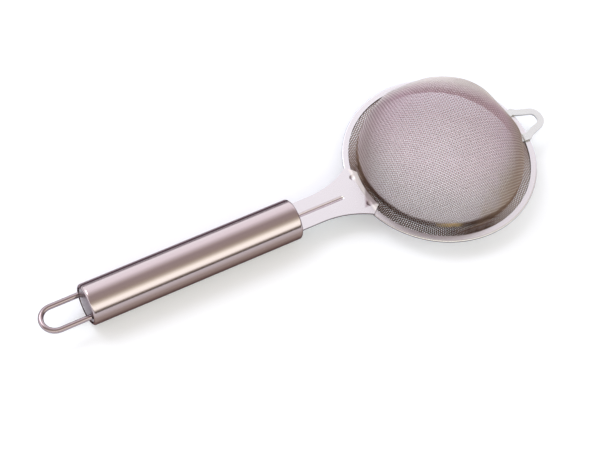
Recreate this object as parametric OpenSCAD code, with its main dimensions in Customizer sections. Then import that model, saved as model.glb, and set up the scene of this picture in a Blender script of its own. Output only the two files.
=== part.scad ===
// Fine mesh strainer with a round tube handle, lying upside down with its bowl up.
// The origin is the centre of the bowl's mouth, halfway through the rim's thickness.
// +Z points up through the bowl, the handle runs along -X and the rest hook along +X.

/* [Rim] */
// Outer diameter of the rim
rim_d = 100; // [90:1:140]
// Radial width of the rim's folded band
rim_band = 3.3; // [2.5:0.1:6]
// Thickness of the sheet that the rim is folded from
rim_sheet = 0.5; // [0.3:0.1:0.8]

/* [Mesh basket] */
// Thickness of the wire cloth
mesh_t = 0.5; // [0.3:0.1:0.8]
// Width of the flat mesh skirt between the rim band and the basket's wall
skirt_w = 4.4; // [3:0.1:8]
// Radius of the bend from the skirt to the wall
base_bend = 1; // [0.5:0.1:2]
// Height of the top of the straight wall above the rim's middle
wall_h = 5.5; // [3:0.5:10]
// Height of the top of the dome above the rim's middle
bowl_h = 41; // [25:1:46]
// Distance between the bars of the open net, measured along a bar
net_pitch = 5; // [4:0.5:8]
// Width of a bar of the net
bar_w = 1.2; // [0.8:0.1:2]
// Height of the closed band at the foot of the wall, above the rim's middle
band_h = 2; // [1.8:0.1:5]

/* [Neck bracket and rest hook] */
// Thickness of the sheet of the neck and the hook
bracket_t = 1; // [0.8:0.1:1.5]
// Width of the neck where it enters the handle
neck_w = 15.9; // [10:0.1:18]
// Width of the fishtail across the rim's outer edge
fish_w = 30.2; // [24:0.1:40]
// Width of the fishtail's inner end, beside the basket's wall
fish_end_w = 21.6; // [16:0.1:30]
// Radius of the neck's hollow sides
flare_r = 47; // [30:1:70]
// Distance from the rim's outer edge to the handle
neck_len = 35; // [28:0.5:60]
// Length of the tang inside the handle
tang_len = 30; // [15:1:50]
// Width of the pressed groove along the neck
groove_w = 1.9; // [1:0.1:3]
// Depth of the pressed groove
groove_depth = 0.5; // [0.2:0.1:0.8]
// Distance from the rim's outer edge to the groove's end
groove_end = 6.2; // [3:0.1:15]
// Distance from the handle to the groove's other end
groove_start = 1.6; // [1:0.1:5]
// Width across the round punch marks that crimp the fishtail to the rim
mark_d = 3.2; // [2:0.1:4]
// Depth of the punch marks
mark_depth = 0.45; // [0.2:0.05:0.7]
// Distance of each punch mark from the middle of the fishtail
mark_y = 8.5; // [5:0.1:10]
// Thickness of the thinned lip that lies on the mesh skirt
lip_t = 0.6; // [0.4:0.1:0.8]
// Width of the strip that forms the rest hook
hook_w = 3; // [2:0.1:5]
// How far the hook reaches beyond the rim
hook_reach = 12.2; // [8:0.1:25]
// Half the distance between the middles of the hook's legs at the rim
hook_root_y = 8.3; // [6:0.1:14]
// Half the distance between the middles of the hook's corners at its tip
hook_tip_y = 3; // [2:0.1:6]
// Width of the hook's feet on the rim
foot_w = 4.6; // [3:0.1:6]

/* [Handle] */
// Outer diameter of the handle tube
tube_d = 20.8; // [19:0.1:28]
// Length of the handle tube
tube_len = 112; // [80:0.5:160]
// Wall thickness of the handle tube
tube_wall = 0.6; // [0.4:0.1:1]
// Radius of the rolled edge at each end of the tube
tube_edge = 1.3; // [1.1:0.1:2]
// Thickness of the sheet of the front plug and the rear cap
cup_sheet = 0.8; // [0.5:0.1:1.2]
// Depth of the front plug and the rear cap inside the tube
cup_depth = 7; // [5:0.5:12]
// How far the rear cap is domed beyond the tube's end
cap_dome = 0.8; // [0.2:0.1:1.5]

/* [Hanging loop] */
// Diameter of the loop's wire
loop_wire = 2.7; // [1.6:0.1:2.8]
// Distance between the middles of the loop's legs
loop_w = 13.4; // [10:0.1:14]
// How far the loop reaches beyond the tube's end
loop_reach = 23.6; // [15:0.1:40]
// Radius of the bend that turns each leg's toe outwards inside the tube
toe_bend = 1.5; // [1.5:0.05:1.7]

/* [Clearances] */
// Gap between a cup and the tube, a leg and its hole, or a lip and the rim band
fit_gap = 0.1; // [0.05:0.05:0.2]
// Gap between the fishtail's lip and the bend at the foot of the basket's wall
lip_gap = 0.6; // [0.3:0.1:1]

/* [Hidden] */
$fn = 96;
// A length that clears what it cuts
over = 1;
rim_r = rim_d / 2;
rim_h = mesh_t + 2 * rim_sheet;
band_r = rim_r - rim_band;
bowl_r = band_r - skirt_w;
skirt_top = mesh_t / 2;
rim_top = rim_h / 2;
plate_top = rim_top + bracket_t;
lip_r = bowl_r + base_bend + lip_gap;
// The dome is part of a sphere that passes through the wall's top and the apex
dome_z = (bowl_h ^ 2 - wall_h ^ 2 - bowl_r ^ 2) / (2 * (bowl_h - wall_h));
dome_r = bowl_h - dome_z;
axis_z = rim_top + bracket_t / 2;
tube_r = tube_d / 2;
front_x = -rim_r - neck_len;
rear_x = front_x - tube_len;
cup_r = tube_r - tube_wall - fit_gap;
cup_edge = tube_edge - tube_wall;
cup_face = tube_wall + fit_gap;
loop_end_x = rear_x - loop_reach + loop_wire / 2 + loop_w / 2;

// Profile of a round box from z = 0 to z = len, with rounded edges at both ends
module round_box(r, len, edge) {
  square([r - edge, len]);
  translate([0, edge]) square([r, len - 2 * edge]);
  for (z = [edge, len - edge]) translate([r - edge, z]) circle(edge);
}

// Bar with round ends between two points of a plan
module bar(a, b, w) {
  len = norm(b - a);
  translate(a) rotate(atan2(b.y - a.y, b.x - a.x)) translate([0, -w / 2]) square([len, w]);
  for (p = [a, b]) translate(p) circle(d = w);
}

// Space that sheet may fill over the rim: flat outside, stepped down to the mesh skirt inside
module saddle(reach) {
  step_r = band_r - fit_gap;
  rotate_extrude() polygon([
    [lip_r, skirt_top], [step_r, skirt_top], [step_r, rim_top], [reach, rim_top],
    [reach, plate_top], [step_r, plate_top], [lip_r, skirt_top + lip_t],
  ]);
}

// Puts a piece that is turned about Z on the handle's axis, with z = 0 at the tube's rear end
module on_handle() {
  translate([rear_x, 0, axis_z]) rotate([0, 90, 0]) children();
}

// Drawn cup that closes a tube's end, with its face at z = 0 and its skirt towards +Z
module cup() {
  rotate_extrude() difference() {
    intersection() {
      round_box(cup_r, cup_depth + tube_edge, cup_edge);
      square([cup_r, cup_depth]);
    }
    translate([0, cup_sheet]) square([cup_r - cup_sheet, cup_depth]);
  }
}

module handle_tube() {
  color([0.72, 0.66, 0.62]) on_handle() rotate_extrude() difference() {
    round_box(tube_r, tube_len, tube_edge);
    translate([0, tube_wall]) round_box(tube_r - tube_wall, tube_len - 2 * tube_wall, cup_edge);
    translate([0, -over]) square([tube_r - tube_edge, tube_len + 2 * over]);
  }
}

// Closes the front of the tube; the tang passes through its slot
module front_plug() {
  slot = [bracket_t + 2 * fit_gap, neck_w + 2 * fit_gap];
  color([0.62, 0.58, 0.58]) on_handle() translate([0, 0, tube_len - cup_face]) mirror([0, 0, 1])
    difference() {
      cup();
      translate([-slot.x / 2, -slot.y / 2, -over]) cube([slot.x, slot.y, cup_sheet + 2 * over]);
    }
}

// Closes the rear of the tube with a low dome; the loop's legs pass through its two holes
module rear_end_cap() {
  dome_w = tube_r - tube_edge - fit_gap;
  rise = cup_face + cap_dome;
  crown_r = (dome_w ^ 2 + rise ^ 2) / (2 * rise);
  color([0.66, 0.61, 0.62]) on_handle() difference() {
    union() {
      translate([0, 0, cup_face]) cup();
      intersection() {
        translate([0, 0, cup_face - rise + crown_r]) sphere(crown_r, $fn = 180);
        translate([0, 0, -cap_dome - over]) cylinder(r = dome_w, h = cap_dome + over + cup_face);
      }
    }
    for (side = [-1, 1]) translate([0, side * loop_w / 2, -cap_dome - over])
      cylinder(d = loop_wire + 2 * fit_gap, h = cap_dome + cup_face + cup_sheet + 2 * over);
  }
}

// Bent wire: a half turn outside, two legs through the cap, and toes hooked behind its skirt
module hanging_loop() {
  toe_x = rear_x + cup_face + cup_depth + fit_gap + loop_wire / 2 - toe_bend;
  toe_end = sqrt(cup_r ^ 2 - (loop_wire / 2) ^ 2) - fit_gap;
  leg_len = toe_x - loop_end_x;
  color([0.85, 0.82, 0.84]) translate([0, 0, axis_z]) {
    translate([loop_end_x, 0, 0]) rotate([0, 0, 90])
      rotate_extrude(angle = 180) translate([loop_w / 2, 0]) circle(d = loop_wire, $fn = 48);
    for (side = [0, 1]) mirror([0, side, 0]) {
      translate([loop_end_x, loop_w / 2, 0]) rotate([0, 90, 0])
        cylinder(d = loop_wire, h = leg_len, $fn = 48);
      translate([toe_x, loop_w / 2 + toe_bend, 0]) rotate([0, 0, -90])
        rotate_extrude(angle = 90) translate([toe_bend, 0]) circle(d = loop_wire, $fn = 48);
      translate([toe_x + toe_bend, loop_w / 2 + toe_bend, 0]) rotate([-90, 0, 0])
        cylinder(d = loop_wire, h = toe_end - loop_w / 2 - toe_bend, $fn = 48);
    }
  }
}

// Plan of the neck: a straight strip that flares to a fishtail, with its corners cut back
module neck_plan() {
  flare_rise = (fish_w - neck_w) / 2;
  flare_len = sqrt(flare_r ^ 2 - (flare_r - flare_rise) ^ 2);
  fish_x = -sqrt(rim_r ^ 2 - (fish_w / 2) ^ 2);
  end_x = -sqrt(lip_r ^ 2 - (fish_end_w / 2) ^ 2);
  flare_x = fish_x - flare_len;
  translate([front_x - tang_len, -neck_w / 2]) square([flare_x - front_x + tang_len, neck_w]);
  difference() {
    translate([flare_x, -fish_w / 2]) square([flare_len, fish_w]);
    for (side = [-1, 1]) translate([flare_x, side * (neck_w / 2 + flare_r)])
      circle(flare_r, $fn = 240);
  }
  polygon([
    [fish_x, -fish_w / 2], [end_x, -fish_end_w / 2], [-lip_r + over, 0],
    [end_x, fish_end_w / 2], [fish_x, fish_w / 2],
  ]);
}

// Sheet strip from inside the handle to the rim, with a pressed groove and two punch marks
module neck_bracket() {
  groove_r = (groove_w ^ 2 / 4 + groove_depth ^ 2) / (2 * groove_depth);
  groove_z = plate_top + groove_r - groove_depth;
  groove_from = front_x + groove_start + groove_w / 2;
  groove_to = -rim_r - groove_end - groove_w / 2;
  mark_r = (mark_d ^ 2 / 4 + mark_depth ^ 2) / (2 * mark_depth);
  mark_x = -sqrt((band_r + mark_d / 4) ^ 2 - mark_y ^ 2);
  color([0.93, 0.91, 0.94]) difference() {
    union() {
      intersection() {
        linear_extrude(plate_top + over) neck_plan();
        saddle(tang_len - front_x + over);
      }
      intersection() {
        groove_body(groove_from, groove_to, groove_z, groove_r + bracket_t);
        translate([front_x, -neck_w / 2, axis_z - tube_r]) cube([neck_len, neck_w, tube_r]);
      }
    }
    groove_body(groove_from, groove_to, groove_z, groove_r);
    for (side = [-1, 1]) translate([mark_x, side * mark_y, plate_top + mark_r - mark_depth])
      sphere(mark_r, $fn = 96);
  }
}

// Round bar with ball ends along X that presses the groove
module groove_body(x0, x1, z, r) {
  translate([x0, 0, z]) rotate([0, 90, 0]) cylinder(r = r, h = x1 - x0, $fn = 96);
  for (x = [x0, x1]) translate([x, 0, z]) sphere(r, $fn = 96);
}

// Channel folded over the edge of the mesh
module rim_ring() {
  edge_x = rim_r - rim_top;
  color([0.9, 0.88, 0.9]) rotate_extrude($fn = 240) difference() {
    union() {
      translate([band_r, -rim_top]) square([edge_x - band_r, rim_h]);
      translate([edge_x, 0]) circle(rim_top, $fn = 48);
    }
    translate([band_r - over, -skirt_top]) square([edge_x - band_r + over, mesh_t]);
    translate([edge_x, 0]) circle(skirt_top, $fn = 48);
  }
}

// Cloth pressed to a flat skirt, a short wall and a dome, which is an open net above its closed band
module mesh_basket() {
  skirt_r = rim_r - rim_top;
  bend_r = bowl_r + base_bend;
  bend_z = skirt_top + base_bend;
  color([0.62, 0.56, 0.57]) difference() {
    rotate_extrude($fn = 240) {
      // Flat skirt that ends inside the rim
      translate([bend_r, -skirt_top]) square([skirt_r - bend_r, mesh_t]);
      // Bend at the foot of the wall
      intersection() {
        difference() {
          translate([bend_r, bend_z]) circle(base_bend + mesh_t, $fn = 96);
          translate([bend_r, bend_z]) circle(base_bend, $fn = 96);
        }
        translate([bowl_r - mesh_t, -skirt_top]) square([base_bend + mesh_t, base_bend + mesh_t]);
      }
      // Wall and dome
      difference() {
        basket_half(bowl_r, dome_r);
        basket_half(bowl_r - mesh_t, dome_r - mesh_t);
      }
    }
    for (x = [0, 1], y = [0, 1]) mirror([x, 0, 0]) mirror([0, y, 0]) quarter_openings();
  }
}

// Next knot of the net on the unit dome: the last one, mirrored in the plane through its neighbours
function next_knot(last, a, b) =
  is_undef(last) || is_undef(a) || is_undef(b) ? undef :
  let (side = cross(a, b), knot = last - 2 * (last * side) / (side * side) * side)
  knot.z < last.z ? knot : undef;

// Row of knots beside the row before it, from a knot on the quarter's edge
function next_row(before, first) = [
  for (i = 0, knot = first; i < len(before); i = i + 1, knot = i < len(before) ?
    next_knot(before[i - 1], before[i], knot) : undef) knot
];

// Rows of knots of a quarter of the net, which starts on two crossing great circles
function knot_rows(count, step) = [
  for (j = 0, row = [for (i = [0:count]) [sin(i * step), 0, cos(i * step)]]; j <= count;
    j = j + 1, row = next_row(row, [0, sin(j * step), cos(j * step)])) row
];

// Openings between the bars in a quarter of the net, each a rhombus cut straight to the dome's centre
module quarter_openings() {
  step = 2 * asin(net_pitch / (2 * dome_r));
  count = ceil(90 / step) + 1;
  rows = knot_rows(count, step);
  reach = 3 * mesh_t;
  translate([0, 0, dome_z]) for (j = [1:count], i = [1:count]) {
    cell = [rows[j - 1][i - 1], rows[j - 1][i], rows[j][i], rows[j][i - 1]];
    if (len([for (knot = cell) if (!is_undef(knot)) knot]) == 4) {
      middle = (cell[0] + cell[2]) / 2;
      low = min([for (knot = cell) knot.z]) * dome_r + dome_z;
      // The sine of the angle between the bars gives the rhombus's width across
      across = norm(cross(cell[1] - cell[0], cell[3] - cell[0])) * dome_r / (net_pitch / dome_r);
      shrink = 1 - bar_w / across;
      tilt = acos(middle.z / norm(middle));
      turn = atan2(middle.y, middle.x);
      along = [cos(tilt) * cos(turn), cos(tilt) * sin(turn), -sin(tilt)];
      sideways = [-sin(turn), cos(turn), 0];
      if (low > band_h && shrink > 0)
        rotate([0, tilt, turn]) translate([0, 0, dome_r - mesh_t - reach])
          linear_extrude(mesh_t + 2 * reach) polygon([
            for (knot = cell) dome_r * shrink * [(knot - middle) * along, (knot - middle) * sideways]
          ]);
    }
  }
}

// Half section of the basket above its bend, as a solid, for a wall and dome of given radii
module basket_half(wall, dome) {
  bend_z = skirt_top + base_bend;
  meet_z = dome_z + sqrt(dome ^ 2 - wall ^ 2);
  translate([0, bend_z]) square([wall, meet_z - bend_z]);
  intersection() {
    translate([0, dome_z]) circle(dome, $fn = 240);
    translate([0, meet_z]) square([wall, bowl_h]);
  }
}

// Stamped strip that rests on a pot's edge, with two feet crimped over the rim
module rest_hook() {
  tip_x = rim_r + hook_reach - hook_w / 2;
  root_x = sqrt(rim_r ^ 2 - hook_root_y ^ 2) - rim_band / 2;
  foot_angle = atan2(hook_root_y, root_x);
  color([0.88, 0.86, 0.88]) intersection() {
    linear_extrude(plate_top + over) {
      for (side = [-1, 1]) {
        bar([root_x, side * hook_root_y], [tip_x, side * hook_tip_y], hook_w);
        rotate(side * foot_angle) translate([lip_r - over, -foot_w / 2])
          square([rim_r - lip_r + over / 2, foot_w]);
      }
      bar([tip_x, -hook_tip_y], [tip_x, hook_tip_y], hook_w);
    }
    saddle(rim_r + hook_reach + over);
  }
}

handle_tube();
front_plug();
rear_end_cap();
hanging_loop();
neck_bracket();
rim_ring();
mesh_basket();
rest_hook();
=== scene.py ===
import math

import bpy
import numpy as np
from mathutils import Matrix, Vector


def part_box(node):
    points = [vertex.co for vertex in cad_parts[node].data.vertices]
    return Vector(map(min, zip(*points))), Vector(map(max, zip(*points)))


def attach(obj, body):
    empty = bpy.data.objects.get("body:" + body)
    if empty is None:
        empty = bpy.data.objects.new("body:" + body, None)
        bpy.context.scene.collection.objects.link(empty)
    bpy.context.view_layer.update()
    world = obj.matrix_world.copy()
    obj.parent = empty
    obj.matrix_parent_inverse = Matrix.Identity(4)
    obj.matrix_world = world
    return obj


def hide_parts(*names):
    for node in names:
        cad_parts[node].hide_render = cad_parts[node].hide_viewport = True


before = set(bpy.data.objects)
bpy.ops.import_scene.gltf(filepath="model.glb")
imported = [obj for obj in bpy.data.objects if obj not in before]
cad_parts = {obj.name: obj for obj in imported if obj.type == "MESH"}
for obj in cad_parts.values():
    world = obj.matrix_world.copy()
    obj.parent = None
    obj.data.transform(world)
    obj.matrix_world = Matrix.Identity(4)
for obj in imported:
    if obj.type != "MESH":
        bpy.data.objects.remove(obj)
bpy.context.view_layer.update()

bl_info = {
    "name": "Wire Mesh Strainer",
    "version": (1, 0, 0),
    "blender": (4, 5, 0),
    "location": "3D View > Sidebar > Strainer",
    "description": "Weaves a hand strainer's wire cloth, finishes its steel pieces and lights them",
    "category": "Object",
}

MM = 0.001
BODY = "root"
BASKET_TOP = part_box("mesh_basket")[1].z
TUBE_LOW, TUBE_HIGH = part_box("handle_tube")
TUBE_Z = (TUBE_LOW.z + TUBE_HIGH.z) / 2

# Steel. Tint of the reflection where it is seen edge on: on the polished loop, and on tube and cloth
DARK_RIM = (0.05, 0.04, 0.05)
SOFT_RIM = (0.3, 0.25, 0.27)
# Clouds of wear to the metre, and how far wear changes the roughness
CLOUDS = 55.0
WEAR_ROUGHNESS = 0.12
# How far a matt patch lowers the metal's share and raises the roughness
MATT_METALLIC = 0.8
MATT_ROUGHNESS = 0.3
BUMP_STRENGTH = 0.35
# How sharply the colour changes where a face turns from upward to sideways
EDGE_RISE = 5.0
# Least upward share of a face that counts as the flat of the rim's band
RIM_FLAT = 0.6

# Cloth. Corners of a wire's section, and sections from one crossing to the next
SIDES = 5
SAMPLES = 2
# How far past a quarter turn the net's two middle wires are laid
NET_REACH = 1.08
# Azimuth and angle from the top, in degrees, of each dent in the dome, with its height and its width
DENTS = (
    (107, 66, 0.7 * MM, 7 * MM),
    (91, 60, -0.8 * MM, 10 * MM),
    (40, 51, 0.5 * MM, 11 * MM),
    (6, 57, -1.4 * MM, 9 * MM),
    (-16, 66, 0.6 * MM, 7 * MM),
    (-70, 30, -0.5 * MM, 13 * MM),
    (-160, 45, -0.6 * MM, 11 * MM),
)
# Attribute that is 1 where the long wires lie on top and -1 where the cross wires do, for the painted glint
# and shade
CROSSING = "crossing"
BLACK = (0.0, 0.0, 0.0, 1.0)
WHITE = (1.0, 1.0, 1.0, 1.0)
# Painted light and shade of the two families of wires: the long wires lighter, the cross wires darker
LONG_WIRE_LIGHT = 1.08
CROSS_WIRE_SHADE = 0.92
# Blotches to the metre that break up the painted shade and reflections
BLOTCHES = 160.0
# Height below which the dome gets painted shade, darker and greyer, and how far below that the shade is
# full
MARGIN_TOP = 30 * MM
MARGIN_FADE = 14 * MM
# Directions of the dome's far side, which gets painted light, and of the hook's side, which gets a painted
# warm reflection. Each starts at a share of the way out to the wall, and then rises so much faster than the
# way
PAINTED_LIGHT_SIDE = (0.6, 0.8)
PAINTED_LIGHT_START = 0.3
PAINTED_LIGHT_RISE = 3.5
WARM_REFLECTION_SIDE = (0.85, -0.53)
WARM_REFLECTION_START = 0.4
WARM_REFLECTION_RISE = 3.0
# Colour of the painted warm reflection
WARM_REFLECTION_COLOUR = (0.43, 0.335, 0.28)
# Painted shade, dark brown, in wall and skirt: the direction in which it is darkest, where it starts to
# thin on each, how fast it thins in the wall, and its lighter brown on the wall's sides
SHADE_SIDE = (-0.75, -0.66)
WALL_SHADE_START = 0.95
WALL_SHADE_RISE = 1.5
WALL_SIDE_SHADE = (0.36, 0.26, 0.21)
SKIRT_SHADE_START = 1.15
# Painted golden glints in the wall: their middle, size and colour, how full they are, and how much the
# blotches break them up
GOLD_GLINT_MIDDLE = Vector((-18.0 * MM, -38.0 * MM))
GOLD_GLINT_RADIUS = 7 * MM
GOLD_GLINT_COLOUR = (0.66, 0.48, 0.22)
GOLD_GLINT_CORE = 1.2
GOLD_GLINT_LEVEL = 0.6
GOLD_GLINT_BREAK = 3.0
# Painted shadow: a dark line where the skirt goes into the folded rim
HEM_RADIUS = 46.1 * MM
HEM_FADE = 0.4 * MM
HEM_SHADOW = 0.8

# Handle. Directions round the tube's axis, as shares of half a turn from the horizon on the camera's
# side: where the painted shade underneath ends, and the painted dark reflection along the back with its
# half width
UNDER_TURN = 0.2
UNDER_RISE = 8.0
DARK_REFLECTION_TURN = 0.708
DARK_REFLECTION_HALF = 0.026
DARK_REFLECTION_CORE = 1.6
DARK_REFLECTION_LEVEL = 0.6

# Neck. Middle and half width of the painted shade on the slope in its groove, and where it ends
GROOVE_SLOPE_Y = 0.2 * MM
GROOVE_SLOPE = 0.75 * MM
GROOVE_END_X = -57.0 * MM
# Corner of the painted shade on the thinned lip, the direction square to its edge, and where it ends at the
# punch mark
LIP_CORNER = (-44.3 * MM, 0.9 * MM)
LIP_ANGLE = math.radians(-30)
LIP_LOW_Y = -10.5 * MM
# Where the lip with painted light begins, and the colour of that light
LIP_X = -47.0 * MM
LIP_COLOUR = (0.96, 0.93, 0.96)

# Hook. Thickness of its sheet, and the radii between which a foot lies on the skirt and on the rim
SHEET = 1 * MM
FOOT_RADII = (43.6 * MM, 46.0 * MM)
BAND_RADII = (46.8 * MM, 47.6 * MM)
# Shares of the way from the rim to a corner's middle at which a leg has sections, and the steps round
# a corner
LEG_SHARES = (0.35, 0.6)
HOOK_STEPS = 8

# Stage
SENSOR = 36.0
FLOOR_SIZE = 6.0
FLOOR_GLOW = 0.2
KEY_PLACE = Vector((-0.4, 0.55, 0.8))
KEY_AIM = Vector((-0.08, 0, 0))
KEY_SIZE = 0.5
KEY_COLOUR = (1.0, 0.98, 0.99)
# Directions round the handle's axis, from the horizon on the camera's side over the top to the
# horizon behind, as shares of half a turn, with the light tent's brightness there
TENT_STOPS = (
    (0.0, (0.14, 0.1, 0.08)),
    (0.055, (0.2, 0.16, 0.12)),
    (0.09, (1.3, 1.25, 1.1)),
    (0.115, (2.0, 2.03, 1.85)),
    (0.21, (1.98, 2.0, 1.78)),
    (0.26, (1.37, 1.34, 1.12)),
    (0.315, (0.78, 0.71, 0.57)),
    (0.38, (0.57, 0.48, 0.42)),
    (0.525, (0.55, 0.46, 0.45)),
    (0.59, (0.78, 0.69, 0.67)),
    (0.66, (1.17, 1.1, 1.13)),
    (0.73, (1.48, 1.43, 1.47)),
    (0.92, (1.66, 1.68, 1.72)),
    (0.965, (0.4, 0.37, 0.4)),
    (1.0, (0.2, 0.17, 0.2)),
)


class ClothSettings(bpy.types.PropertyGroup):
    """Sizes of the woven wire basket"""

    pitch: bpy.props.FloatProperty(
        name="Pitch", description="Distance between neighbouring wires, along the wire that crosses them",
        default=1.06 * MM, min=0.9 * MM, max=4 * MM, subtype="DISTANCE", precision=5)
    wire: bpy.props.FloatProperty(
        name="Wire", description="Diameter of the cloth's wire",
        default=0.37 * MM, min=0.2 * MM, max=0.8 * MM, subtype="DISTANCE", precision=5)
    swell: bpy.props.FloatProperty(
        name="Foot swell", description="How much thicker the wires are where the wall is pressed tight",
        default=1.3, min=1, max=1.5)
    turn: bpy.props.FloatProperty(
        name="Turn", description="Angle of the wires to the handle's axis",
        default=math.radians(40), subtype="ANGLE")
    wall_radius: bpy.props.FloatProperty(
        name="Wall radius", description="Radius of the middle of the cloth in the basket's wall",
        default=42.05 * MM, subtype="DISTANCE", precision=5)
    wall_top: bpy.props.FloatProperty(
        name="Wall top", description="Height at which the wall becomes the dome",
        default=5.5 * MM, subtype="DISTANCE", precision=5)
    bend: bpy.props.FloatProperty(
        name="Bend", description="Radius of the bend at the foot of the wall, to the middle of the cloth",
        default=1.25 * MM, subtype="DISTANCE", precision=5)
    cut_radius: bpy.props.FloatProperty(
        name="Cut edge", description="Radius at which the wires end inside the folded rim",
        default=48.9 * MM, subtype="DISTANCE", precision=5)
    colour: bpy.props.FloatVectorProperty(
        name="Colour", description="Colour of the cloth's wire",
        default=(0.61, 0.445, 0.52), size=3, min=0, max=1, subtype="COLOR")
    foot_colour: bpy.props.FloatVectorProperty(
        name="Foot", description="Painted shade, dark brown, on the wire in the wall below the dome",
        default=(0.11, 0.062, 0.045), size=3, min=0, max=1, subtype="COLOR")
    # Painted shade low on the dome
    margin_colour: bpy.props.FloatVectorProperty(
        name="Margin", description="Colour of the wire low on the dome",
        default=(0.47, 0.39, 0.405), size=3, min=0, max=1, subtype="COLOR")
    # Painted light on the dome's far side
    painted_light_colour: bpy.props.FloatVectorProperty(
        name="Bright side", description="Painted light on the wire low on the dome's far side",
        default=(0.9, 0.86, 0.85), size=3, min=0, max=1, subtype="COLOR")
    # Strength of the painted glint on the crossings, and of the painted shade on the others
    glint: bpy.props.FloatProperty(
        name="Glint", description="How much brighter the crossings are where the long wires lie on top",
        default=0.25, min=0, max=0.5)
    skirt_colour: bpy.props.FloatVectorProperty(
        name="Skirt", description="Colour of the wire in the flat skirt",
        default=(0.44, 0.35, 0.345), size=3, min=0, max=1, subtype="COLOR")


class FinishSettings(bpy.types.PropertyGroup):
    """Colours of the solid steel pieces"""

    tube: bpy.props.FloatVectorProperty(
        name="Handle", description="Colour of the satin handle tube",
        default=(0.5, 0.43, 0.445), size=3, min=0, max=1, subtype="COLOR")
    cup: bpy.props.FloatVectorProperty(
        name="Cups", description="Colour of the plug and the cap in the tube's ends",
        default=(0.22, 0.185, 0.205), size=3, min=0, max=1, subtype="COLOR")
    sheet: bpy.props.FloatVectorProperty(
        name="Sheet", description="Colour of the rolled sheet of the neck, rim and hook",
        default=(0.735, 0.73, 0.765), size=3, min=0, max=1, subtype="COLOR")
    hook: bpy.props.FloatVectorProperty(
        name="Hook", description="Colour of the rest hook's sheet",
        default=(0.69, 0.72, 0.72), size=3, min=0, max=1, subtype="COLOR")
    loop: bpy.props.FloatVectorProperty(
        name="Loop", description="Colour of the hanging loop's wire",
        default=(0.38, 0.315, 0.335), size=3, min=0, max=1, subtype="COLOR")
    # Real colour of the sheared edges, also used for painted shade on the rim and along the handle's back
    edge: bpy.props.FloatVectorProperty(
        name="Edge", description="Colour of the sheared edges of the sheet and of the hems' undersides",
        default=(0.17, 0.14, 0.15), size=3, min=0, max=1, subtype="COLOR")
    # Painted shade on the handle tube's underside
    under: bpy.props.FloatVectorProperty(
        name="Underside", description="Painted shade on the handle tube's underside",
        default=(0.285, 0.215, 0.195), size=3, min=0, max=1, subtype="COLOR")
    # Painted shade in the groove and on the lip
    hollow: bpy.props.FloatVectorProperty(
        name="Hollow", description="Colour of the sheet in the groove and on the thinned lip",
        default=(0.5, 0.44, 0.475), size=3, min=0, max=1, subtype="COLOR")


class HookSettings(bpy.types.PropertyGroup):
    """Sizes of the stamped rest hook"""

    width: bpy.props.FloatProperty(
        name="Width", description="Width of the hook's strip",
        default=3.5 * MM, min=2 * MM, max=5 * MM, subtype="DISTANCE", precision=5)
    foot_width: bpy.props.FloatProperty(
        name="Foot width", description="Width of the feet that are crimped over the rim",
        default=4.4 * MM, min=3 * MM, max=5 * MM, subtype="DISTANCE", precision=5)
    root: bpy.props.FloatVectorProperty(
        name="Root", description="Place where a leg's middle crosses the rim band",
        default=(47.66 * MM, 8.3 * MM), size=2, subtype="XYZ")
    corner_y: bpy.props.FloatProperty(
        name="Corner", description="Half the distance between the tip's corners, as if they were sharp",
        default=3.7 * MM, subtype="DISTANCE", precision=5)
    bend: bpy.props.FloatProperty(
        name="Bend", description="Radius of the strip's middle in the corners",
        default=4.5 * MM, subtype="DISTANCE", precision=5)


class StageSettings(bpy.types.PropertyGroup):
    """Camera, floor and light"""

    azimuth: bpy.props.FloatProperty(
        name="Azimuth", description="Direction of the camera round the object",
        default=math.radians(-36.79), subtype="ANGLE")
    elevation: bpy.props.FloatProperty(
        name="Elevation", description="Height of the camera above the horizon",
        default=math.radians(56.79), subtype="ANGLE")
    roll: bpy.props.FloatProperty(
        name="Roll", description="Turn of the camera about its own view",
        default=math.radians(9.29), subtype="ANGLE")
    distance: bpy.props.FloatProperty(
        name="Distance", description="Distance from the camera to the point it aims at",
        default=850 * MM, subtype="DISTANCE")
    lens: bpy.props.FloatProperty(
        name="Lens", description="Focal length, in millimetres, for a sensor 36 mm wide",
        default=103.98)
    aim: bpy.props.FloatVectorProperty(
        name="Aim", description="Point at the height of the rim that the camera aims at",
        default=(-83.49 * MM, -3.96 * MM), size=2, subtype="XYZ")
    floor_colour: bpy.props.FloatVectorProperty(
        name="Floor", description="Colour of the floor",
        default=(0.84, 0.89, 0.97), size=3, min=0, max=1, subtype="COLOR")
    tent: bpy.props.FloatProperty(
        name="Tent", description="Brightness of the light tent", default=1.0, min=0)
    key: bpy.props.FloatProperty(
        name="Key", description="Power of the softbox behind the object", default=2.0, min=0, unit="POWER")


class Wire:
    """An output socket. Arithmetic on it adds Math nodes to its tree."""

    def __init__(self, shade, socket):
        self.shade = shade
        self.socket = socket

    def math(self, operation, *values):
        return self.shade.add("Math", "Value", {"operation": operation}, dict(enumerate(values)))

    def __add__(self, other):
        return self.math("ADD", self, other)

    __radd__ = __add__

    def __sub__(self, other):
        return self.math("SUBTRACT", self, other)

    def __rsub__(self, other):
        return self.math("SUBTRACT", other, self)

    def __mul__(self, other):
        return self.math("MULTIPLY", self, other)

    __rmul__ = __mul__

    def __truediv__(self, other):
        return self.math("DIVIDE", self, other)

    def square(self):
        return self.math("MULTIPLY", self, self)

    def root(self):
        return self.math("SQRT", self)

    def __abs__(self):
        return self.math("ABSOLUTE", self)

    def limit(self):
        """Held between 0 and 1."""
        return self.math("MINIMUM", self.math("MAXIMUM", self, 0.0), 1.0)


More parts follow.
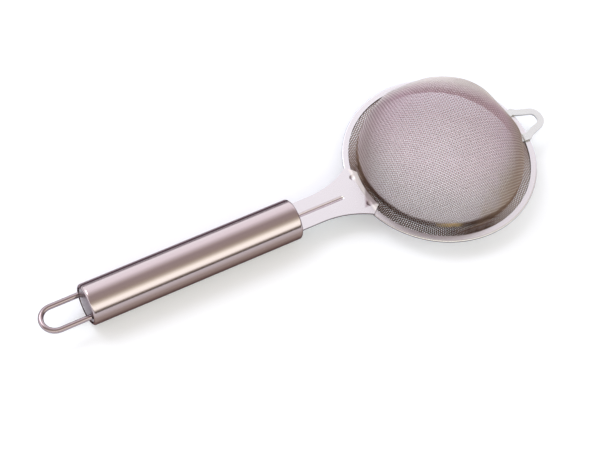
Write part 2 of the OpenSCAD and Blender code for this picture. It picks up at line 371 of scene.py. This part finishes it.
class Shade:
    """A node tree, and the one method that adds a node to it."""

    def __init__(self, tree):
        self.tree = tree
        tree.nodes.clear()

    def add(self, kind, output, settings=None, inputs=None):
        node = self.tree.nodes.new("ShaderNode" + kind)
        for name, value in (settings or {}).items():
            if name == "stops":
                self.set_stops(node.color_ramp, value)
            else:
                setattr(node, name, value)
        for name, value in (inputs or {}).items():
            if isinstance(value, Wire):
                self.tree.links.new(value.socket, node.inputs[name])
            else:
                node.inputs[name].default_value = value
        return Wire(self, node.outputs[output]) if output is not None else node

    def set_stops(self, ramp, stops):
        while len(ramp.elements) < len(stops):
            ramp.elements.new(1.0)
        for element, (place, colour) in zip(ramp.elements, stops):
            element.position = place
            element.color = (*colour, 1.0)

    def place(self, scale=(1.0, 1.0, 1.0)):
        """Object coordinates in metres, times a scale for each axis."""
        point = self.add("TexCoord", "Object")
        return self.add("VectorMath", "Vector", {"operation": "MULTIPLY"}, {0: point, 1: scale})

    def axes(self, vector):
        node = self.add("SeparateXYZ", None, inputs={"Vector": vector})
        return [Wire(self, node.outputs[axis]) for axis in "XYZ"]

    def sides(self, upward=0.5):
        """1 on faces that stand upright or look down, 0 on those that look up more than the given share."""
        z = self.axes(self.add("NewGeometry", "Normal"))[2]
        return ((upward - z) * EDGE_RISE).limit()

    def noise(self, scale, detail=2.0, roughness=0.5):
        return self.add("TexNoise", "Fac", inputs={
            "Vector": self.place(scale), "Scale": 1.0, "Detail": detail, "Roughness": roughness})

    def tint(self, amount, first, second):
        """Mix of two colours by an amount from 0 to 1."""
        node = self.add("Mix", None, {"data_type": "RGBA"})
        for name, value in (("Factor_Float", amount), ("A_Color", first), ("B_Color", second)):
            socket = next(s for s in node.inputs if s.identifier == name)
            if isinstance(value, Wire):
                self.tree.links.new(value.socket, socket)
            else:
                socket.default_value = value
        return Wire(self, next(s for s in node.outputs if s.identifier == "Result_Color"))

    def surface(self, inputs):
        shader = self.add("BsdfPrincipled", "BSDF", inputs=inputs)
        self.add("OutputMaterial", None, inputs={"Surface": shader})


def opaque(colour, level=1.0):
    return (*(min(1.0, c * level) for c in colour), 1.0)


def new_material(name):
    material = bpy.data.materials.new(name)
    material.use_nodes = True
    return material, Shade(material.node_tree)


def brushed_steel(name, colour, roughness, grain, relief, stain=0.06, paint=None, rim_tint=None):
    """Steel with a grain: a fine noise that is stretched by the scale given for each axis. Paint is a
    function that lays further colours over the base, painted light and shade among them, and says where the
    steel is matt."""
    material, shade = new_material(name)
    lines = shade.noise(grain, 3.0, 0.65)
    cloud = shade.noise((CLOUDS,) * 3, 4.0, 0.6)
    worn = lines * 0.5 + cloud * 0.5
    base = shade.tint(worn, opaque(colour, 1 - stain), opaque(colour, 1 + stain))
    matt = 0.0
    if paint:
        base, matt = paint(shade, base)
    bump = shade.add("Bump", "Normal", inputs={
        "Strength": BUMP_STRENGTH, "Distance": relief, "Height": lines})
    shade.surface({
        "Base Color": base, "Metallic": 1.0 - matt * MATT_METALLIC,
        "Roughness": roughness + (worn - 0.5) * WEAR_ROUGHNESS + matt * MATT_ROUGHNESS,
        "Specular Tint": opaque(rim_tint or (1, 1, 1)), "Normal": bump})
    return material


def show_material(piece, material):
    piece.data.materials.clear()
    piece.data.materials.append(material)


def polish_node(node, material):
    """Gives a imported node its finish."""
    show_material(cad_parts[node], material)


class Basket:
    """The basket's middle surface, and the net of knots that the cloth forms when it is pressed to it."""

    def __init__(self, cloth):
        self.cloth = cloth
        top = BASKET_TOP - cloth.wire
        wall, height = cloth.wall_radius, cloth.wall_top
        self.centre_z = (top ** 2 - height ** 2 - wall ** 2) / (2 * (top - height))
        self.radius = top - self.centre_z
        self.dome_end = self.radius * math.acos((height - self.centre_z) / self.radius)
        self.wall_end = self.dome_end + height - cloth.bend
        self.bend_end = self.wall_end + cloth.bend * math.pi / 2
        self.cut_end = self.bend_end + cloth.cut_radius - wall - cloth.bend

    def section(self, s):
        """Radius, height and outward slope angle at a distance s from the top, along the surface."""
        cloth = self.cloth
        if s < self.dome_end:
            angle = s / self.radius
            return self.radius * math.sin(angle), self.centre_z + self.radius * math.cos(angle), angle
        if s < self.wall_end:
            return cloth.wall_radius, cloth.wall_top - (s - self.dome_end), math.pi / 2
        if s < self.bend_end:
            angle = math.pi / 2 - (s - self.wall_end) / cloth.bend
            return (cloth.wall_radius + cloth.bend * (1 - math.sin(angle)),
                    cloth.bend * (1 - math.cos(angle)), angle)
        return cloth.wall_radius + cloth.bend + s - self.bend_end, 0.0, 0.0

    def dent(self, knot):
        """Height of the dents and bulges in the dome, in a direction from its centre."""
        height = 0.0
        for azimuth, polar, depth, width in DENTS:
            a, p = math.radians(azimuth) - self.cloth.turn, math.radians(polar)
            middle = (math.sin(p) * math.cos(a), math.sin(p) * math.sin(a), math.cos(p))
            share = min(1.0, float(np.dot(knot, middle) / np.linalg.norm(knot)))
            height += depth * math.exp(-(self.radius * math.acos(share) / width) ** 2)
        return height

    def point(self, knot):
        """Place and normal on the surface for a direction from the dome's centre."""
        across = math.hypot(knot[0], knot[1])
        s = self.radius * math.atan2(across, knot[2])
        r, z, angle = self.section(s)
        c, d = (knot[0] / across, knot[1] / across) if across > 1e-9 else (1.0, 0.0)
        place = np.array((r * c, r * d, z))
        normal = np.array((math.sin(angle) * c, math.sin(angle) * d, math.cos(angle)))
        return place + normal * self.dent(knot), normal, s

    def knots(self):
        """Directions of the net's knots in one quarter. Each is the last one, mirrored in the plane
        through its two neighbours and the centre, so that every wire keeps its length."""
        step = 2 * math.asin(self.cloth.pitch / (2 * self.radius))
        count = int(NET_REACH * math.pi / 2 / step)
        limit = math.cos(self.cut_end / self.radius + step)
        net = {}
        for i in range(count + 1):
            net[i, 0] = np.array((math.sin(i * step), 0.0, math.cos(i * step)))
            net[0, i] = np.array((0.0, math.sin(i * step), math.cos(i * step)))
        for i in range(1, count + 1):
            for j in range(1, count + 1):
                around = [net.get(key) for key in ((i - 1, j - 1), (i - 1, j), (i, j - 1))]
                if any(knot is None for knot in around):
                    continue
                last, a, b = around
                side = np.cross(a, b)
                knot = last - 2 * np.dot(last, side) / np.dot(side, side) * side
                if limit < knot[2] < last[2]:
                    net[i, j] = knot
        return {key: knot for key, knot in net.items() if knot[2] > limit}

    def whole_net(self):
        net = {}
        for (i, j), knot in self.knots().items():
            for side_i in (-1, 1):
                for side_j in (-1, 1):
                    net[side_i * i, side_j * j] = knot * (side_i, side_j, 1)
        return net


def weave(basket, net, along_x, half):
    """Centre line, surface normals and radii of the wires of one family, in one half of the cloth.
    Each wire runs over and under those of the other family."""
    cloth = basket.cloth
    lines = {}
    for i, j in net:
        line = j if along_x else i
        if (line < 0) == (half < 0):
            lines.setdefault(line, []).append(i if along_x else j)
    sign = 1 if along_x else -1
    runs = []
    for line, stations in sorted(lines.items()):
        stations.sort()
        path = []
        for first, second in zip(stations, stations[1:]):
            ends = [net[(k, line) if along_x else (line, k)] for k in (first, second)]
            for sample in range(SAMPLES):
                share = sample / SAMPLES
                direction = ends[0] * (1 - share) + ends[1] * share
                place, normal, s = basket.point(direction)
                radius = cloth.wire / 2 * (cloth.swell if s > basket.dome_end else 1.0)
                lift = sign * math.cos(math.pi * (first + line + share)) * radius
                if s <= basket.cut_end:
                    path.append((place + normal * lift, normal, radius, sign * lift / radius))
        if len(path) > SAMPLES:
            runs.append(path)
    return runs


def add_piece(name, vertices, faces, smooth):
    mesh = bpy.data.meshes.new(name)
    mesh.from_pydata(vertices, [], faces)
    mesh.polygons.foreach_set("use_smooth", [smooth] * len(mesh.polygons))
    mesh.update()
    piece = bpy.data.objects.new(name, mesh)
    bpy.context.scene.collection.objects.link(piece)
    return piece


def sweep(name, runs, smooth=True):
    """Mesh of bars. Each run is an array of sections, each of which has the same number of corners."""
    vertices, faces = [], []
    for run in runs:
        start, (count, corners, _) = len(vertices), run.shape
        vertices.extend(run.reshape(-1, 3))
        for low in range(start, start + (count - 1) * corners, corners):
            for k in range(corners):
                after = (k + 1) % corners
                faces.append((low + k, low + after, low + corners + after, low + corners + k))
        last = start + (count - 1) * corners
        faces.append(tuple(start + k for k in reversed(range(corners))))
        faces.append(tuple(last + k for k in range(corners)))
    return add_piece(name, vertices, faces, smooth)


def mark_crossings(piece, paths):
    """Keeps 1 where the long wires lie on top and -1 where the cross wires do, for the painted glint and
    shade.
    """
    values = np.repeat([step[3] for path in paths for step in path], SIDES)
    piece.data.attributes.new(CROSSING, "FLOAT", "POINT").data.foreach_set("value", values)


def frames(places, normals):
    """Sideways and upward directions of a bar's sections along its middle line."""
    tangents = np.gradient(places, axis=0)
    tangents /= np.linalg.norm(tangents, axis=1)[:, None]
    sides = np.cross(tangents, normals)
    sides /= np.linalg.norm(sides, axis=1)[:, None]
    return sides, np.cross(sides, tangents)


def round_wire(path):
    """Sections of a round wire along a path of places, surface normals, radii and crossings."""
    places, normals = (np.array([step[k] for step in path]) for k in (0, 1))
    radii = np.array([step[2] for step in path])[:, None]
    sides, ups = frames(places, normals)
    angles = [2 * math.pi * k / SIDES for k in range(SIDES)]
    return np.stack([places + radii * (math.cos(a) * sides + math.sin(a) * ups) for a in angles], axis=1)


class STRAINER_OT_wire_cloth(bpy.types.Operator):
    """Weaves the basket's wire cloth, one piece for each direction of wire"""

    bl_idname = "strainer.wire_cloth"
    bl_label = "Weave Wire Cloth"

    def execute(self, context):
        cloth = context.scene.strainer_cloth
        basket = Basket(cloth)
        net = basket.whole_net()

        def paint(shade, base):
            """The dome gets painted shade low down, a painted warm reflection low on the hook's side and
            painted light on the far side, and its crossings a painted glint and painted shade. Wall and
            skirt get dark painted shade towards the handle, with painted golden glints in the wall and a
            painted shadow where the skirt goes into the rim."""
            x, y, z = shade.axes(shade.add("TexCoord", "Object"))
            blotch = shade.noise((BLOTCHES,) * 3, 3.0, 0.6) - 0.5

            def toward(side):
                return (x * side[0] + y * side[1]) / cloth.wall_radius

            low = ((MARGIN_TOP - z) / MARGIN_FADE).limit()
            painted_light = ((toward(PAINTED_LIGHT_SIDE) - PAINTED_LIGHT_START) * PAINTED_LIGHT_RISE).limit()
            warm_reflection = ((toward(WARM_REFLECTION_SIDE) - WARM_REFLECTION_START + blotch) * WARM_REFLECTION_RISE).limit()
            # Painted shade: the dome darker and greyer low down
            dome = shade.tint(low, base, opaque(cloth.margin_colour))
            # Painted light: the dome's far side is made lighter and creamier
            dome = shade.tint(painted_light, dome, opaque(cloth.painted_light_colour))
            # Painted warm reflection, low on the dome on the hook's side
            dome = shade.tint(low * warm_reflection, dome, opaque(WARM_REFLECTION_COLOUR))
            # Painted glint where the long wires lie on top, and painted shade where the cross wires do
            over = shade.add("Attribute", "Fac", {"attribute_name": CROSSING}) * cloth.glint
            dome = shade.tint(over.limit(), shade.tint((0 - over).limit(), dome, BLACK), WHITE)

            # Painted shade: wall and skirt dark brown towards the handle and lighter brown on the sides;
            # away from the handle the skirt keeps its own colour
            side = toward(SHADE_SIDE)
            brown = ((WALL_SHADE_START - side + blotch) * WALL_SHADE_RISE).limit()
            wall = shade.tint(brown, opaque(cloth.foot_colour), opaque(WALL_SIDE_SHADE))
            # Painted golden glints, a reflection, in the wall
            away = ((x - GOLD_GLINT_MIDDLE.x).square() + (y - GOLD_GLINT_MIDDLE.y).square()) / GOLD_GLINT_RADIUS ** 2
            gold_glint = (GOLD_GLINT_CORE - away).limit() * (GOLD_GLINT_LEVEL + blotch * GOLD_GLINT_BREAK)
            wall = shade.tint((gold_glint * ((z - cloth.bend) / MM).limit()).limit(), wall, opaque(GOLD_GLINT_COLOUR))
            flat = ((cloth.wire - z) / cloth.wire * 2).limit()
            clear = (flat * (SKIRT_SHADE_START - side + blotch)).limit()
            foot = shade.tint(clear, wall, opaque(cloth.skirt_colour))
            # Painted shadow where the skirt goes into the folded rim
            hem_shadow = (((x.square() + y.square()).root() - HEM_RADIUS) / HEM_FADE).limit()
            foot = shade.tint(hem_shadow * HEM_SHADOW, foot, opaque(cloth.foot_colour))
            # Below the wall's top the cloth takes the painted shade of the foot
            shaded_foot = ((cloth.wall_top + blotch * 2 * MM - z) / MM).limit()
            return shade.tint(shaded_foot, dome, foot), 0.0

        families = (("cloth_long_wires", True, LONG_WIRE_LIGHT), ("cloth_cross_wires", False, CROSS_WIRE_SHADE))
        for name, along_x, level in families:
            steel = brushed_steel(
                name, opaque(cloth.colour, level)[:3], 0.38, (400.0, 400.0, 400.0), 2e-6, paint=paint,
                rim_tint=SOFT_RIM)
            for half, side in ((-1, "left"), (1, "right")):
                paths = weave(basket, net, along_x, half)
                piece = sweep(f"{name}_{side}", [round_wire(path) for path in paths])
                mark_crossings(piece, paths)
                piece.data.transform(Matrix.Rotation(cloth.turn, 4, "Z"))
                show_material(piece, steel)
                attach(piece, BODY)
                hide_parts("mesh_basket")
        return {"FINISHED"}


class STRAINER_OT_handle(bpy.types.Operator):
    """Finishes the handle tube with the cups that close it"""

    bl_idname = "strainer.handle"
    bl_label = "Finish Handle"

    def execute(self, context):
        finish = context.scene.strainer_finish

        def paint(shade, base):
            """Painted shade underneath, with a painted dark reflection along the back."""
            x, y, z = shade.axes(shade.add("TexCoord", "Object"))
            turn = z.math("ARCTAN2", z - TUBE_Z, 0 - y) / math.pi
            under = ((UNDER_TURN - turn) * UNDER_RISE).limit()
            dark_reflection = (DARK_REFLECTION_CORE - abs(turn - DARK_REFLECTION_TURN) / DARK_REFLECTION_HALF).limit()
            # Painted shade on the underside, and a painted dark reflection along the back in the edge
            # colour
            base = shade.tint(under, base, opaque(finish.under))
            return shade.tint(dark_reflection, base, opaque(finish.edge, DARK_REFLECTION_LEVEL)), 0.0

        polish_node("handle_tube", brushed_steel(
            "Satin tube", finish.tube, 0.16, (9000.0, 260.0, 260.0), 3e-6, paint=paint, rim_tint=SOFT_RIM))
        cup = brushed_steel("Drawn cup", finish.cup, 0.3, (900.0, 900.0, 900.0), 3e-6)
        for node in ("front_plug", "rear_end_cap"):
            polish_node(node, cup)
        return {"FINISHED"}


class STRAINER_OT_hanging_loop(bpy.types.Operator):
    """Finishes the hanging loop's wire"""

    bl_idname = "strainer.hanging_loop"
    bl_label = "Finish Hanging Loop"

    def execute(self, context):
        finish = context.scene.strainer_finish
        polish_node("hanging_loop", brushed_steel(
            "Polished wire", finish.loop, 0.14, (300.0, 3000.0, 3000.0), 2e-6, rim_tint=DARK_RIM))
        return {"FINISHED"}


class STRAINER_OT_sheet_pieces(bpy.types.Operator):
    """Finishes the neck and the rim, and stamps the rest hook"""

    bl_idname = "strainer.sheet_pieces"
    bl_label = "Finish Sheet Pieces"

    def execute(self, context):
        finish = context.scene.strainer_finish

        def rim(shade, base):
            # Painted shade on the rim's faces that look sideways or down: its outer roll and the band's
            # inner face
            return shade.tint(shade.sides(RIM_FLAT), base, opaque(finish.edge)), 0.0

        def hook(shade, base):
            return shade.tint(shade.sides() * 0.5, base, opaque(finish.edge)), 0.0

        def neck(shade, base):
            """The groove's far slope and the lip beside the lower punch mark get painted shade, and the
            rest of the lip is matt, with painted light."""
            x, y, z = shade.axes(shade.add("TexCoord", "Object"))
            near_slope = (2.0 - abs(y - GROOVE_SLOPE_Y) / GROOVE_SLOPE).limit()
            along = ((GROOVE_END_X - x) / GROOVE_SLOPE).limit()
            out_x, out_y = x - LIP_CORNER[0], y - LIP_CORNER[1]
            lip = (out_x * math.cos(LIP_ANGLE) + out_y * math.sin(LIP_ANGLE)) / MM
            painted_shade = (near_slope * along + lip.limit() * ((y - LIP_LOW_Y) / MM).limit()).limit()
            lit_matt_lip = ((x - LIP_X) / MM).limit()
            # Painted light on the lip, which is also made matt
            base = shade.tint(lit_matt_lip, base, opaque(LIP_COLOUR))
            # Painted shade on the groove's slope and on the lip beside the lower punch mark
            base = shade.tint(painted_shade, base, opaque(finish.hollow))
            return shade.tint(shade.sides(), base, opaque(finish.edge)), lit_matt_lip

        def sheet(name, paint, colour=finish.sheet):
            return brushed_steel(name, colour, 0.26, (180.0, 5000.0, 5000.0), 1e-6, 0.015, paint)

        polish_node("neck_bracket", sheet("Neck sheet", neck))
        polish_node("rim_ring", sheet("Rolled rim", rim))
        self.stamp_hook(context.scene.strainer_hook, sheet("Stamped hook", hook, finish.hook))
        return {"FINISHED"}

    def stamp_hook(self, hook, material):
        """A flat strip that starts on the skirt, steps over the rim band and runs round to the other
        foot."""
        low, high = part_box("rest_hook")
        root = Vector(hook.root)
        top = high.z - SHEET / 2
        outward = root.normalized()
        tip_x = high.x - hook.width / 2
        lean = math.atan2(root.y - hook.corner_y, tip_x - root.x)
        turn = math.pi / 2 - lean
        centre = Vector((tip_x - hook.bend, hook.corner_y - hook.bend * math.tan(turn / 2)))
        wide, narrow = hook.foot_width, hook.width
        half = [(outward * radius, low.z + SHEET / 2, wide) for radius in FOOT_RADII]
        half += [(outward * radius, top, wide) for radius in BAND_RADII]
        half.append((root + outward * MM, top, (wide + narrow) / 2))
        for share in LEG_SHARES:
            half.append((root.lerp(centre, share) + Vector((0, hook.bend * share)), top, narrow))
        for k in range(HOOK_STEPS + 1):
            angle = turn * (1 - k / HOOK_STEPS)
            half.append((centre + hook.bend * Vector((math.cos(angle), math.sin(angle))), top, narrow))
        path = half + [(Vector((p.x, -p.y)), z, width) for p, z, width in reversed(half)]
        places = np.array([(p.x, p.y, z) for p, z, width in path])
        sides, ups = frames(places, np.tile((0.0, 0.0, 1.0), (len(path), 1)))
        spans = np.array([width / 2 for p, z, width in path])[:, None]
        sections = np.stack([places + a * spans * sides + b * SHEET / 2 * ups
                             for a, b in ((1, 1), (-1, 1), (-1, -1), (1, -1))], axis=1)
        piece = sweep("stamped_hook", [sections], smooth=False)
        show_material(piece, material)
        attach(piece, BODY)
        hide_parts("rest_hook")


class STRAINER_OT_stage(bpy.types.Operator):
    """Sets up the camera, the floor and the studio light"""

    bl_idname = "strainer.stage"
    bl_label = "Set Up Stage"

    def execute(self, context):
        stage = context.scene.strainer_stage
        self.add_camera(context.scene, stage)
        self.add_floor(stage)
        self.add_tent(context.scene, stage)
        self.add_key(stage)
        context.scene.view_settings.view_transform = "Standard"
        return {"FINISHED"}

    def add_camera(self, scene, stage):
        camera = bpy.data.objects.new("Camera", bpy.data.cameras.new("Camera"))
        scene.collection.objects.link(camera)
        camera.data.lens = stage.lens
        camera.data.sensor_width = SENSOR
        camera.data.sensor_fit = "HORIZONTAL"
        camera.data.clip_start = 0.05
        camera.data.clip_end = 20.0
        flat = math.cos(stage.elevation)
        back = Vector((math.sin(stage.azimuth) * flat, -math.cos(stage.azimuth) * flat,
                       math.sin(stage.elevation)))
        right = Vector((0, 0, 1)).cross(back).normalized()
        up = back.cross(right)
        turned = Matrix.Rotation(stage.roll, 3, back)
        right, up = turned @ right, turned @ up
        pose = Matrix((right, up, back)).transposed().to_4x4()
        pose.translation = Vector((*stage.aim, 0)) + back * stage.distance
        camera.matrix_world = pose
        scene.camera = camera

    def add_floor(self, stage):
        half = FLOOR_SIZE / 2
        corners = [(x * half, y * half, TUBE_LOW.z) for x, y in ((-1, -1), (1, -1), (1, 1), (-1, 1))]
        mesh = bpy.data.meshes.new("floor")
        mesh.from_pydata(corners, [], [(0, 1, 2, 3)])
        floor = bpy.data.objects.new("floor", mesh)
        bpy.context.scene.collection.objects.link(floor)
        material, shade = new_material("Floor")
        rays = shade.add("LightPath", None).outputs
        seen = sum(Wire(shade, rays[f"Is {kind} Ray"]) for kind in ("Camera", "Glossy", "Transmission"))
        glow = shade.add("Emission", "Emission", inputs={
            "Color": WHITE, "Strength": seen.limit() * FLOOR_GLOW})
        matt = shade.add("BsdfDiffuse", "BSDF", inputs={"Color": opaque(stage.floor_colour)})
        both = shade.add("AddShader", "Shader", inputs={0: matt, 1: glow})
        shade.add("OutputMaterial", None, inputs={"Surface": both})
        show_material(floor, material)

    def add_tent(self, scene, stage):
        """Light tent: bright behind and overhead, dimmer above the camera, warm low in front."""
        world = bpy.data.worlds.new("Light tent")
        world.use_nodes = True
        scene.world = world
        shade = Shade(world.node_tree)
        direction = shade.add("TexCoord", "Generated")
        x, y, z = shade.axes(direction)
        turn = z.math("ARCTAN2", z, 0 - y) / math.pi
        light = shade.add("ValToRGB", "Color", {"stops": TENT_STOPS}, {"Fac": turn})
        glow = shade.add("Background", "Background", inputs={"Color": light, "Strength": stage.tent})
        shade.add("OutputWorld", None, inputs={"Surface": glow})

    def add_key(self, stage):
        """Softbox above and behind, which gives the soft shadow on the camera's side."""
        lamp = bpy.data.lights.new("Softbox", "AREA")
        lamp.shape = "DISK"
        lamp.size = KEY_SIZE
        lamp.energy = stage.key
        lamp.color = KEY_COLOUR
        softbox = bpy.data.objects.new("Softbox", lamp)
        bpy.context.scene.collection.objects.link(softbox)
        softbox.location = KEY_PLACE
        softbox.rotation_euler = (KEY_PLACE - KEY_AIM).to_track_quat("Z", "Y").to_euler()


class STRAINER_PT_panel(bpy.types.Panel):
    """Sizes, colours and steps of the strainer"""

    bl_idname = "STRAINER_PT_panel"
    bl_label = "Strainer"
    bl_space_type = "VIEW_3D"
    bl_region_type = "UI"
    bl_category = "Strainer"

    def draw(self, context):
        for operator in STEPS:
            self.layout.operator(operator.bl_idname)
        for group in GROUPS:
            box = self.layout.box()
            for name in GROUPS[group].__annotations__:
                box.prop(getattr(context.scene, group), name)


STEPS = (
    STRAINER_OT_wire_cloth,
    STRAINER_OT_handle,
    STRAINER_OT_hanging_loop,
    STRAINER_OT_sheet_pieces,
    STRAINER_OT_stage,
)
GROUPS = {
    "strainer_cloth": ClothSettings,
    "strainer_finish": FinishSettings,
    "strainer_hook": HookSettings,
    "strainer_stage": StageSettings,
}


def register():
    for group in (*GROUPS.values(), *STEPS, STRAINER_PT_panel):
        bpy.utils.register_class(group)
    for name, group in GROUPS.items():
        setattr(bpy.types.Scene, name, bpy.props.PointerProperty(type=group))


def unregister():
    for name in GROUPS:
        delattr(bpy.types.Scene, name)
    for group in (STRAINER_PT_panel, *reversed(STEPS), *GROUPS.values()):
        bpy.utils.unregister_class(group)


def main():
    register()
    for step in STEPS:
        category, name = step.bl_idname.split(".")
        getattr(getattr(bpy.ops, category), name)()


if __name__ == "__main__":
    main()
